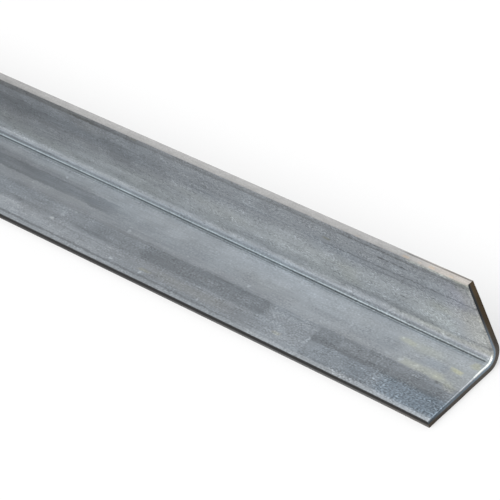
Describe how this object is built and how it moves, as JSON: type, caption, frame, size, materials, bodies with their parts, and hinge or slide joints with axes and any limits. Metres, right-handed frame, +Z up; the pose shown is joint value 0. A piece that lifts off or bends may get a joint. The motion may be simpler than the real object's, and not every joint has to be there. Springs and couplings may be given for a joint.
{
  "type": "steel angle section",
  "caption": "Length of cold-formed steel angle with equal legs, a rounded heel, slit free edges and sheared ends, zinc plated.",
  "frame": {"origin": "under the middle of the bar's bounding box, on the surface it lies on", "axes": "+X along the bar towards the end shown in the picture, +Y from the flat leg's free edge to the upright leg's outer face, +Z up along the upright leg"},
  "size_m": [0.9144, 0.0318, 0.0318],
  "materials": {
    "zinc_plated_steel": "satin zinc plate over mill-finish steel, darker on the cut edges"
  },
  "bodies": {
    "root": {"angle_section": "zinc_plated_steel"}
  },
  "joints": []
}
